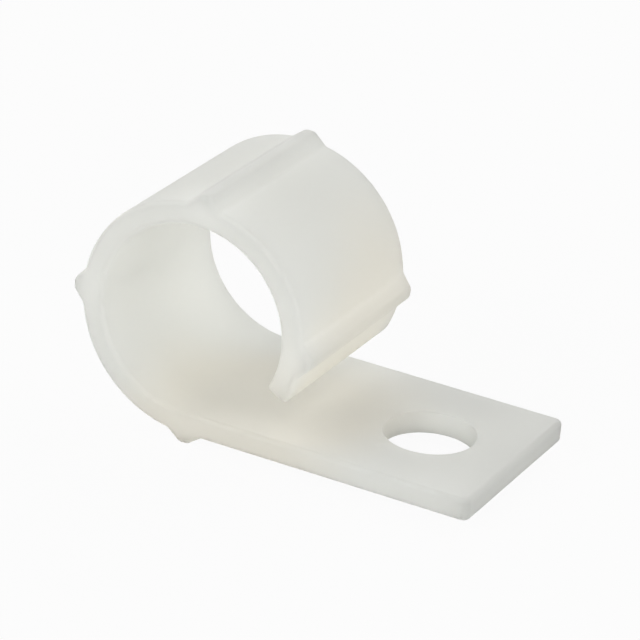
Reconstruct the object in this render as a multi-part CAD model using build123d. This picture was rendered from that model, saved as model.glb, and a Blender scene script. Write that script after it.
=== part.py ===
from build123d import *
import math
import os

# A one-piece moulded nylon cable clamp. A strap lies flat as a tab with one screw hole, then curls
# up into an open loop that holds the cable. Low ribs run across the outside of the loop.
# X runs from the loop to the end of the tab, Y along the cable and Z up from the mounting face.
# The origin is the centre of the screw hole, on the underside of the tab.

# The strap, in millimetres
strap_width = 12.7
strap_thickness = 1.4
corner_radius = 0.5  # the four corners at the two ends of the strap
edge_radius = 0.3  # the long edges, all round the strap

# The loop
loop_inner_diameter = 11.6
mouth_gap = 2.3  # from the tab up to the free end

# The tab
screw_hole_diameter = 5.4
hole_to_loop_axis = 12.65
hole_to_tab_end = 5.6

# The ribs
rib_count = 4
rib_height = 0.6
rib_base_width = 2.2
rib_crown_width = 0.55
rib_crown_radius = 0.5
rib_root_radius = 0.4
end_rib_setback = 3.1  # from the free end to the last rib, along the outside of the loop

# What follows from them
loop_inner_radius = loop_inner_diameter / 2
loop_outer_radius = loop_inner_radius + strap_thickness
loop_centre = Vector(-hole_to_loop_axis, loop_outer_radius)
tangent_angle = 270.0  # where the tab runs into the loop, right below the loop's axis
free_end_drop = loop_inner_radius - mouth_gap
free_end_angle = -math.degrees(math.asin(free_end_drop / loop_outer_radius))
last_rib_angle = free_end_angle + math.degrees(end_rib_setback / loop_outer_radius)


def on_loop(radius, angle):
    """The point of the side view at this radius and angle from the loop's axis."""
    return loop_centre + Vector(radius, 0).rotate(Axis.Z, angle)


def strap_profile():
    """The side view of the strap: the tab, the loop and the square cut at its free end."""
    sweep = free_end_angle - tangent_angle
    with BuildSketch() as profile:
        with BuildLine():
            outside = CenterArc(loop_centre, loop_outer_radius, tangent_angle, sweep)
            inside = CenterArc(loop_centre, loop_inner_radius, tangent_angle, sweep)
            Line(outside @ 1, inside @ 1)
            tab_top = Line(inside @ 0, (hole_to_tab_end, strap_thickness))
            tab_end = Line(tab_top @ 1, (hole_to_tab_end, 0))
            Line(tab_end @ 1, outside @ 0)
        make_face()
    return profile.sketch


def rib_profile():
    """A rib that stands up along X from the loop's outer face, with its foot inside the strap."""
    flank = (rib_base_width - rib_crown_width) / 2 / rib_height
    foot = strap_thickness / 2
    half_foot = rib_base_width / 2 + foot * flank
    half_crown = rib_crown_width / 2
    rib = Polygon(
        (-foot, -half_foot),
        (rib_height, -half_crown),
        (rib_height, half_crown),
        (-foot, half_foot),
        align=None,
    )
    crown = rib.vertices().group_by(Axis.X)[-1]
    return fillet(crown, rib_crown_radius)


def rib_angles():
    """The ribs share the loop evenly, from below its axis to just short of the free end."""
    step = (last_rib_angle - tangent_angle) / (rib_count - 1)
    return [tangent_angle + step * number for number in range(rib_count)]


def ribbed_profile():
    """The side view with its ribs, each blended into the strap at its roots."""
    profile = strap_profile()
    for angle in rib_angles():
        foot = on_loop(loop_outer_radius, angle)
        profile += Pos(foot.X, foot.Y) * Rot(0, 0, angle) * rib_profile()
    half_base = math.degrees(rib_base_width / 2 / loop_outer_radius)
    roots = []
    for angle in rib_angles():
        for side in (-half_base, half_base):
            root = on_loop(loop_outer_radius, angle + side)
            roots.append(profile.vertices().sort_by_distance(root)[0])
    return fillet(roots, rib_root_radius)


def end_faces(strap):
    """The flat face at the end of the tab and the one at the free end of the loop."""
    middle = on_loop(loop_outer_radius - strap_thickness / 2, free_end_angle)
    tab_end = strap.faces().sort_by(Axis.X)[-1]
    free_end = strap.faces().sort_by_distance((middle.X, 0, middle.Y))[0]
    return ShapeList([tab_end, free_end])


def round_corners(strap):
    """Rounds the strap's corners at the end of the tab and at the free end of the loop."""
    corners = []
    for end in end_faces(strap):
        across = end.edges().sort_by(Axis.Y)
        corners += [across[0], across[-1]]
    return fillet(corners, corner_radius)


def is_corner(face):
    """True for the round face of a corner, whose axis runs through the strap's thickness."""
    return abs(face.axis_of_rotation.direction.Y) < 0.5


def round_edges(strap):
    """Rounds the strap's long edges, which run all round it on the inside and on the outside."""
    sides = strap.faces().filter_by(Axis.Y)
    corners = strap.faces().filter_by(GeomType.CYLINDER).filter_by(is_corner)
    rim = sides + corners + end_faces(strap)
    edges = [edge for face in rim for edge in face.edges()]
    return fillet([edge for edge in edges if edges.count(edge) == 1], edge_radius)


def build_clamp():
    strap = extrude(Plane.XZ * ribbed_profile(), strap_width / 2, both=True)
    strap = round_corners(strap)
    strap = round_edges(strap)
    strap -= Cylinder(screw_hole_diameter / 2, 4 * strap_thickness)
    return strap


os.makedirs("parts", exist_ok=True)
export_step(build_clamp(), "parts/clamp.step")
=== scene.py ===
import math

import bmesh
import bpy
from mathutils import Euler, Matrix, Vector


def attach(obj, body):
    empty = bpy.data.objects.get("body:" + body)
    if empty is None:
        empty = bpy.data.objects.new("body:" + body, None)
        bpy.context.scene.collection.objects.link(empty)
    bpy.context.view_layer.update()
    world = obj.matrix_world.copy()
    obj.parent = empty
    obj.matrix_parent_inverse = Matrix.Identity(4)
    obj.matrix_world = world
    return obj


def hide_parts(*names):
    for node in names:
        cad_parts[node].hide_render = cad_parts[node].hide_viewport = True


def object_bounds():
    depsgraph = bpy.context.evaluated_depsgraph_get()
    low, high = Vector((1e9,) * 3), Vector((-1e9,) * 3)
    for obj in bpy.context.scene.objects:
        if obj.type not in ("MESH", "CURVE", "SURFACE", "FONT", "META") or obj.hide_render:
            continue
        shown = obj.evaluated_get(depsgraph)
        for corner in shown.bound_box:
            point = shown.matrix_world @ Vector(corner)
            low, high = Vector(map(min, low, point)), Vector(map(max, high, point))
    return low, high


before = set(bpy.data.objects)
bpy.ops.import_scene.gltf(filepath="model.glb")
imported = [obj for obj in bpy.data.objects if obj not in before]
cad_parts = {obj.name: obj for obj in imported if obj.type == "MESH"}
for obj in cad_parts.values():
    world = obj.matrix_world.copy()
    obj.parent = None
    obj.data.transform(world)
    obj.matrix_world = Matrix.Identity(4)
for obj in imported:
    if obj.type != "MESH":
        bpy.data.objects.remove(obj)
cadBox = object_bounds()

# A moulded nylon cable clamp: a flat tab with a screw hole, curled up into an open loop with ribs.
# X runs from the loop to the end of the tab, Y along the cable, Z up from the mounting face.

millimetre = 0.001


# Selecting and cutting

touching = 0.0001  # in millimetres: places nearer than this are the same
straight = 0.99  # a face that looks straight along an axis has more than this of its normal there


def useOnly(piece):
    bpy.ops.object.select_all(action="DESELECT")
    piece.select_set(True)
    bpy.context.view_layer.objects.active = piece


def pick(piece, kind, test):
    # selects the vertices, edges or faces that pass the test, and nothing else
    bpy.ops.mesh.select_mode(type=kind)
    bpy.ops.mesh.select_all(action="DESELECT")
    mesh = bmesh.from_edit_mesh(piece.data)
    mesh.normal_update()
    parts = {"VERT": mesh.verts, "EDGE": mesh.edges, "FACE": mesh.faces}[kind]
    for part in parts:
        if test(part):
            part.select_set(True)
    mesh.select_flush_mode()
    bmesh.update_edit_mesh(piece.data)


def always(part):
    return True


def facesDown(face):
    return face.normal.z < -straight


def facesUp(face):
    return face.normal.z > straight


def facesSideways(face):
    return abs(face.normal.y) > straight


def standsUpright(face):
    return abs(face.normal.z) < 1 - straight


def cutAcross(piece, test, at, along=(1, 0, 0)):
    # one straight cut through the faces that pass the test
    pick(piece, "FACE", test)
    bpy.ops.mesh.bisect(plane_co=at, plane_no=along, threshold=touching)


def bevelPicked(offset, segments):
    bpy.ops.mesh.bevel(offset_type="OFFSET", offset=offset, segments=segments, profile=0.5,
                       affect="EDGES", clamp_overlap=False)


# The clamp

# In millimetres and degrees. The strap is shaped flat, with its outside down, and then rolled up.
clamp = {
    "strapWidth": 12.7,
    "strapThickness": 1.4,
    "cornerRadius": 0.5,
    "cornerSteps": 8,
    "edgeRadius": 0.3,
    "edgeSteps": 5,
    "loopInnerRadius": 5.8,
    "mouthGap": 2.3,  # from the tab up to the free end
    "rowSpacing": 0.31,  # rows of faces across the part of the strap that is rolled up
    "lastRowSetback": 0.625,  # from the free end, clear of its round corners
    "holeRadius": 2.7,
    "holeSides": 48,
    "holeCollar": 0.75,  # from the hole to the square of faces round it
    "holeEdgeRadius": 0.08,
    "holeEdgeSteps": 3,
    "holeToLoopAxis": 12.65,
    "holeToTabEnd": 5.6,
    "ribCount": 4,
    "ribHeight": 0.6,
    "ribBaseWidth": 2.2,
    "ribCrownWidth": 0.55,
    "ribCrownRadius": 0.5,
    "ribRootRadius": 0.4,
    "ribSteps": 4,
    "lastRibSetback": 3.1,  # from the free end, along the outside
    "smoothAngle": 40,  # edges that turn more than this stay sharp
}


def strapPlan(size):
    # where things lie along the flat strap
    outer = size["loopInnerRadius"] + size["strapThickness"]
    drop = math.asin((size["loopInnerRadius"] - size["mouthGap"]) / outer)
    rolledAngle = math.radians(270) + drop
    tangent = -size["holeToLoopAxis"]
    rolledLength = outer * rolledAngle
    step = (rolledLength - size["lastRibSetback"]) / (size["ribCount"] - 1)
    spread = (outer + size["ribHeight"]) / outer  # a crown widens by this as the strap is rolled up
    return {
        "tangent": tangent,
        "angle": rolledAngle,
        "freeEnd": tangent - rolledLength,
        "ribs": [tangent - number * step for number in range(size["ribCount"])],
        "halfRib": size["ribBaseWidth"] / 2,
        "halfCrown": size["ribCrownWidth"] / spread / 2,
    }


def addOutline(size, plan):
    # a flat sheet with the strap's outline and four round corners
    length = size["holeToTabEnd"] - plan["freeEnd"]
    middle = (size["holeToTabEnd"] + plan["freeEnd"]) / 2
    bpy.ops.object.select_all(action="DESELECT")
    bpy.ops.mesh.primitive_plane_add(size=1, location=(0, 0, 0))
    piece = bpy.context.object
    bpy.ops.object.mode_set(mode="EDIT")
    bpy.ops.mesh.select_all(action="SELECT")
    bpy.ops.transform.resize(value=(length, size["strapWidth"], 1), center_override=(0, 0, 0))
    bpy.ops.transform.translate(value=(middle, 0, 0))
    pick(piece, "VERT", always)
    bpy.ops.mesh.bevel(offset_type="ABSOLUTE", offset=size["cornerRadius"], segments=size["cornerSteps"],
                       profile=0.5, affect="VERTICES")
    return piece


def cutRows(piece, size, plan):
    # rows across the strap where it will be rolled up, with the ribs' roots and middles among them
    halfRib = plan["halfRib"]
    rows = []
    for rib in plan["ribs"]:
        rows += [rib + halfRib, rib, rib - halfRib]
    lastRow = plan["freeEnd"] + size["lastRowSetback"]
    gapEnds = [rib + halfRib for rib in plan["ribs"][1:]] + [lastRow]
    for rib, gapEnd in zip(plan["ribs"], gapEnds):
        gapStart = rib - halfRib
        count = max(1, round((gapStart - gapEnd) / size["rowSpacing"]))
        step = (gapStart - gapEnd) / count
        rows += [gapStart - step * number for number in range(1, count + 1)]
    for x in sorted(set(round(row, 6) for row in rows)):
        cutAcross(piece, always, (x, 0, 0))


def openHole(piece, size):
    # a square of faces round the screw hole, bridged to a circle
    half = size["holeRadius"] + size["holeCollar"]
    sides = size["holeSides"]

    def besideHole(face):
        return abs(face.calc_center_median().x) < half

    def overHole(face):
        return face.calc_center_median().length < half / 2

    def onSquare(edge):
        return all(max(abs(v.co.x), abs(v.co.y)) < half + touching for v in edge.verts)

    for x in (-half, half):
        cutAcross(piece, always, (x, 0, 0))
    for y in (-half, half):
        cutAcross(piece, besideHole, (0, y, 0), (0, 1, 0))
    pick(piece, "FACE", overHole)
    bpy.ops.mesh.delete(type="ONLY_FACE")
    pick(piece, "EDGE", onSquare)
    bpy.ops.mesh.subdivide(number_cuts=sides // 4 - 1)
    bpy.ops.mesh.select_all(action="DESELECT")
    bpy.ops.mesh.primitive_circle_add(vertices=sides, radius=size["holeRadius"], location=(0, 0, 0))
    pick(piece, "EDGE", onSquare)
    bpy.ops.mesh.bridge_edge_loops()


def thicken(size):
    # the sheet gets its thickness upwards, towards the inside of the loop
    bpy.ops.mesh.select_mode(type="FACE")
    bpy.ops.mesh.select_all(action="SELECT")
    bpy.ops.mesh.extrude_region_move(TRANSFORM_OT_translate={"value": (0, 0, size["strapThickness"])})
    bpy.ops.mesh.select_all(action="SELECT")
    bpy.ops.mesh.normals_make_consistent(inside=False)


def overRib(face, rib, plan):
    return abs(face.calc_center_median().x - rib) < plan["halfRib"]


def raiseRibs(piece, size, plan):
    # each rib's faces on the outside are drawn out and narrowed to the crown
    narrowing = plan["halfCrown"] / plan["halfRib"]
    for rib in plan["ribs"]:
        pick(piece, "FACE", lambda face: facesDown(face) and overRib(face, rib, plan))
        bpy.ops.mesh.extrude_region_move(TRANSFORM_OT_translate={"value": (0, 0, -size["ribHeight"])})
        bpy.ops.transform.resize(value=(narrowing, 1, 1), center_override=(rib, 0, 0))


def mergeSides(piece, size):
    # the two long sides become one face each, so that nothing crosses them while edges are rounded
    halfWidth = size["strapWidth"] / 2

    def onSide(face):
        return facesSideways(face) and abs(abs(face.calc_center_median().y) - halfWidth) < touching

    pick(piece, "FACE", onSide)
    bpy.ops.mesh.dissolve_faces()


def cutBehindRibs(piece, plan):
    # finer rows on the inside of the strap behind each rib, whose middle has its row already
    spacing = plan["halfRib"] / 4
    for rib in plan["ribs"]:
        for number in (-3, -2, -1, 1, 2, 3):
            cutAcross(piece, lambda face: facesUp(face) and overRib(face, rib, plan),
                      (rib + number * spacing, 0, 0))


def crosses(edge, x, z):
    # a straight edge across the strap at this place of its side view
    return all(abs(v.co.x - x) < touching and abs(v.co.z - z) < touching for v in edge.verts)


def roundRibs(piece, size, plan):
    # the roots of the ribs, then the corners of their crowns
    run = plan["halfRib"] - plan["halfCrown"]
    turn = math.atan(size["ribHeight"] / run)  # from the strap's face to the rib's flank
    for halfWidth, z, radius in ((plan["halfRib"], 0, size["ribRootRadius"]),
                                 (plan["halfCrown"], -size["ribHeight"], size["ribCrownRadius"])):
        places = [rib + side * halfWidth for rib in plan["ribs"] for side in (-1, 1)]
        pick(piece, "EDGE", lambda edge: any(crosses(edge, x, z) for x in places))
        bevelPicked(radius * math.tan(turn / 2), size["ribSteps"])


def roundRims(piece, size):
    # the long edges all round the strap, then the two rims of the hole
    def inHole(face):
        middle = face.calc_center_median()
        return math.hypot(middle.x, middle.y) < size["holeRadius"]

    def onRim(edge):
        return sum(standsUpright(face) and not inHole(face) for face in edge.link_faces) == 1

    def onHoleRim(edge):
        return sum(inHole(face) for face in edge.link_faces) == 1

    pick(piece, "EDGE", onRim)
    bevelPicked(size["edgeRadius"], size["edgeSteps"])
    pick(piece, "EDGE", onHoleRim)
    bevelPicked(size["holeEdgeRadius"], size["holeEdgeSteps"])


def rollUp(piece, size, plan):
    # bends the strap behind the tangent point round the loop's axis
    length = size["holeToTabEnd"] - plan["freeEnd"]
    flatLength = size["holeToTabEnd"] - plan["tangent"]
    bpy.ops.object.mode_set(mode="OBJECT")
    turned = (math.radians(90), 0, math.radians(180))  # its X backwards along the strap, its Z across
    bpy.ops.object.empty_add(location=(plan["tangent"], 0, 0), rotation=turned)
    axis = bpy.context.object
    bend = piece.modifiers.new("roll", "SIMPLE_DEFORM")
    bend.deform_method = "BEND"
    bend.deform_axis = "Z"
    bend.origin = axis
    bend.angle = plan["angle"]
    bend.limits = (flatLength / length, 1)
    bpy.context.view_layer.update()
    useOnly(piece)
    bpy.ops.object.modifier_apply(modifier=bend.name)
    bpy.data.objects.remove(axis)


def finishMesh(piece, size):
    # to metres, faces outwards, shaded smooth with the flat faces kept flat
    bpy.ops.object.mode_set(mode="EDIT")
    bpy.ops.mesh.select_all(action="SELECT")
    bpy.ops.transform.resize(value=(millimetre,) * 3, center_override=(0, 0, 0))
    bpy.ops.mesh.normals_make_consistent(inside=False)
    bpy.ops.object.mode_set(mode="OBJECT")
    bpy.ops.object.shade_smooth_by_angle(angle=math.radians(size["smoothAngle"]))
    even = piece.modifiers.new("even", "WEIGHTED_NORMAL")
    even.keep_sharp = True
    bpy.ops.object.modifier_apply(modifier=even.name)


def makeClamp(size):
    plan = strapPlan(size)
    piece = addOutline(size, plan)
    piece.name = "clampStrap"
    cutRows(piece, size, plan)
    openHole(piece, size)
    thicken(size)
    raiseRibs(piece, size, plan)
    mergeSides(piece, size)
    cutBehindRibs(piece, plan)
    roundRibs(piece, size, plan)
    roundRims(piece, size)
    rollUp(piece, size, plan)
    finishMesh(piece, size)
    return piece


# Shader nodes

class Wire:
    # a node's output that can be used in sums
    def __init__(self, graph, socket):
        self.graph = graph
        self.socket = socket

    def __add__(self, other):
        return self.graph.maths("ADD", self, other)

    def __sub__(self, other):
        return self.graph.maths("SUBTRACT", self, other)

    def __rsub__(self, other):
        return self.graph.maths("SUBTRACT", other, self)

    def __mul__(self, other):
        return self.graph.maths("MULTIPLY", self, other)

    __radd__ = __add__
    __rmul__ = __mul__


class Graph:
    def __init__(self, tree):
        self.tree = tree
        tree.nodes.clear()

    def node(self, kind, settings=None, output=0, **sockets):
        # settings first, then each socket's value or link, by its name with the spaces left out
        made = self.tree.nodes.new(kind)
        for name, value in (settings or {}).items():
            setattr(made, name, value)
        for name, value in sockets.items():
            target = self.find(made, name)
            if isinstance(value, Wire):
                self.tree.links.new(value.socket, target)
            else:
                target.default_value = value
        return Wire(self, made.outputs[output]) if made.outputs else made

    def find(self, made, name):
        # input0, input1 and so on where a node's sockets share a name
        if name.startswith("input"):
            return made.inputs[int(name.removeprefix("input"))]
        return next(s for s in made.inputs if s.enabled and s.name.replace(" ", "") == name)

    def maths(self, operation, first, second):
        return self.node("ShaderNodeMath", {"operation": operation}, input0=first, input1=second)

    def mixColours(self, share, first, second):
        # a Mix node takes its colours at sockets 6 and 7 and gives the mixed one at 2
        return self.node("ShaderNodeMix", {"data_type": "RGBA"}, output=2,
                         input0=share, input6=first, input7=second)


# The nylon

nylon = {
    "pale": (0.762, 0.768, 0.732, 1),
    # painted warm light: the colour of light bounced between the loop and the tab, painted into the nylon
    "warm": (0.790, 0.767, 0.691, 1),
    # painted warm light: a warm tint, standing in for light bounced between the loop and the tab, fills a
    # long ellipsoid from the bend up to the free end, in millimetres and degrees
    "warmPlace": (-12.4, -5.9, -4.0),
    "warmTurn": (0, -46, 49),
    "warmReach": (29.6, 9.7, 9.1),
    "warmCore": 0.49,  # as far out as this share of the reach it has its full strength
    "clouds": {"Scale": 130, "Detail": 2.0, "Roughness": 0.45},  # about 8 mm across
    "cloudShift": 0.3,  # how far they push the painted warm light about
    "glow": 1.0,
    "glowRadius": (1.0, 1.0, 1.0),
    "glowDepth": 6.0 * millimetre,  # how far light spreads inside
    "refraction": 1.53,
    "shine": 0.25,
    "roughness": 0.55,
    "roughnessSpread": 0.10,  # how far the waves and the grain change it
    "waves": {"Scale": 330, "Detail": 1.0, "Roughness": 0.4},  # faint, in the moulded surface
    "waveHeight": 0.02 * millimetre,
    "grain": {"Scale": 5200, "Detail": 2.0, "Roughness": 0.6},
    "grainHeight": 0.0025 * millimetre,
}


def makeNylon(look):
    material = bpy.data.materials.new("nylonNatural")
    material.use_nodes = True
    graph = Graph(material.node_tree)
    place = graph.node("ShaderNodeTexCoord", output="Object")
    clouds = graph.node("ShaderNodeTexNoise", Vector=place, **look["clouds"])
    waves = graph.node("ShaderNodeTexNoise", Vector=place, **look["waves"])
    grain = graph.node("ShaderNodeTexNoise", Vector=place, **look["grain"])
    # painted warm light: a warm tint inside the ellipsoid, standing in for light bounced between the loop
    # and the tab
    inEllipsoid = graph.node("ShaderNodeMapping", {"vector_type": "TEXTURE"}, Vector=place,
                             Location=[value * millimetre for value in look["warmPlace"]],
                             Rotation=[math.radians(value) for value in look["warmTurn"]],
                             Scale=[value * millimetre for value in look["warmReach"]])
    away = graph.node("ShaderNodeVectorMath", {"operation": "LENGTH"}, output="Value", input0=inEllipsoid)
    away = away + (clouds - 0.5) * look["cloudShift"]
    paintedBounceShare = graph.node("ShaderNodeMapRange", {"interpolation_type": "SMOOTHSTEP"}, Value=away,
                        FromMin=look["warmCore"], FromMax=1.0, ToMin=1.0, ToMax=0.0)
    colour = graph.mixColours(paintedBounceShare, look["pale"], look["warm"])
    spread = look["roughnessSpread"]
    roughness = (waves - 0.5) * spread + (grain - 0.5) * spread + look["roughness"]
    height = waves * look["waveHeight"] + grain * look["grainHeight"]
    bump = graph.node("ShaderNodeBump", Strength=1.0, Distance=1.0, Height=height)
    shader = graph.node("ShaderNodeBsdfPrincipled", {"subsurface_method": "BURLEY"}, BaseColor=colour,
                        Roughness=roughness, Normal=bump, IOR=look["refraction"],
                        SpecularIORLevel=look["shine"], SubsurfaceWeight=look["glow"],
                        SubsurfaceRadius=look["glowRadius"], SubsurfaceScale=look["glowDepth"])
    graph.node("ShaderNodeOutputMaterial", Surface=shader)
    return material


# The floor, the lights and the camera

studio = {
    "floorSize": 4.0,
    "floorColour": (0.92, 0.92, 0.92, 1),
    "floorWhite": 0.94,  # how far the floor fades into the white background; the rest keeps the shadow
    "roomColour": (1.0, 1.0, 1.0, 1),
    "roomLevel": 0.22,
    "lamps": {  # azimuth and elevation from the object, distance, side and watts
        "front": (30, 15, 0.45, 0.22, 0.64),
        "left": (-30, 22, 0.45, 0.34, 0.78),
        "backLeft": (-150, 15, 0.45, 0.22, 0.17),
        "right": (120, 15, 0.45, 0.22, 0.22),
        "back": (180, 35, 0.45, 0.5, 0.66),
    },
}

# the camera of the photograph, in degrees and metres, with its lens in millimetres
photoView = {
    "azimuth": 26.25,
    "elevation": 24.85,
    "roll": 4.74,
    "distance": 0.21652,
    "lens": 209.86,
    "aim": (-0.00827, 0.00136, 0.00565),
    "nearest": 0.01,
}


def seenDirectly(graph):
    # 1 for camera, mirror and glass rays, 0 for the rays that light the object
    camera, glossy, through = (graph.node("ShaderNodeLightPath", output=name)
                               for name in ("Is Camera Ray", "Is Glossy Ray", "Is Transmission Ray"))
    return graph.maths("MAXIMUM", graph.maths("MAXIMUM", camera, glossy), through)


def makeRoom(look):
    world = bpy.data.worlds.new("room")
    world.use_nodes = True
    bpy.context.scene.world = world
    graph = Graph(world.node_tree)
    level = seenDirectly(graph) * (1 - look["roomLevel"]) + look["roomLevel"]
    light = graph.node("ShaderNodeBackground", Color=look["roomColour"], Strength=level)
    graph.node("ShaderNodeOutputWorld", Surface=light)


def makeFloor(look, height):
    bpy.ops.object.select_all(action="DESELECT")
    bpy.ops.mesh.primitive_plane_add(size=look["floorSize"], location=(0, 0, height))
    floor = bpy.context.object
    floor.name = "floor"
    material = bpy.data.materials.new("floorWhite")
    material.use_nodes = True
    graph = Graph(material.node_tree)
    paint = graph.node("ShaderNodeBsdfDiffuse", Color=look["floorColour"])
    white = graph.node("ShaderNodeEmission", Color=(1, 1, 1, 1), Strength=1.0)
    share = seenDirectly(graph) * look["floorWhite"]
    both = graph.node("ShaderNodeMixShader", input0=share, input1=paint, input2=white)
    graph.node("ShaderNodeOutputMaterial", Surface=both)
    floor.data.materials.append(material)


def direction(azimuth, elevation):
    # azimuth 0 is the front, towards -Y, and 90 is the right, towards +X
    turn, lift = math.radians(azimuth), math.radians(elevation)
    return Vector((math.sin(turn) * math.cos(lift), -math.cos(turn) * math.cos(lift), math.sin(lift)))


def makeLamps(look, centre):
    for name, (azimuth, elevation, distance, side, watts) in look["lamps"].items():
        towards = direction(azimuth, elevation)
        lamp = bpy.data.lights.new(name, "AREA")
        lamp.size = side
        lamp.energy = watts
        holder = bpy.data.objects.new(name, lamp)
        holder.location = centre + towards * distance
        holder.rotation_euler = towards.to_track_quat("Z", "Y").to_euler()
        bpy.context.scene.collection.objects.link(holder)


def makeCamera(look):
    camera = bpy.data.cameras.new("photo")
    camera.lens = look["lens"]
    camera.clip_start = look["nearest"]
    holder = bpy.data.objects.new("photo", camera)
    towards = direction(look["azimuth"], look["elevation"])
    level = Euler((math.radians(90 - look["elevation"]), 0, math.radians(look["azimuth"])))
    tilt = Euler((0, 0, math.radians(look["roll"])))
    holder.rotation_euler = (level.to_matrix() @ tilt.to_matrix()).to_euler()
    holder.location = Vector(look["aim"]) + towards * look["distance"]
    bpy.context.scene.collection.objects.link(holder)
    bpy.context.scene.camera = holder


# Putting it together

strap = makeClamp(clamp)
strap.data.materials.clear()
strap.data.materials.append(makeNylon(nylon))
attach(strap, "root")
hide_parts("clamp")
print("clamp made:", len(strap.data.polygons), "faces")

lowest, highest = cadBox
makeRoom(studio)
makeFloor(studio, lowest.z)
makeLamps(studio, (lowest + highest) / 2)
makeCamera(photoView)
bpy.context.scene.view_settings.view_transform = "Standard"
print("studio made")
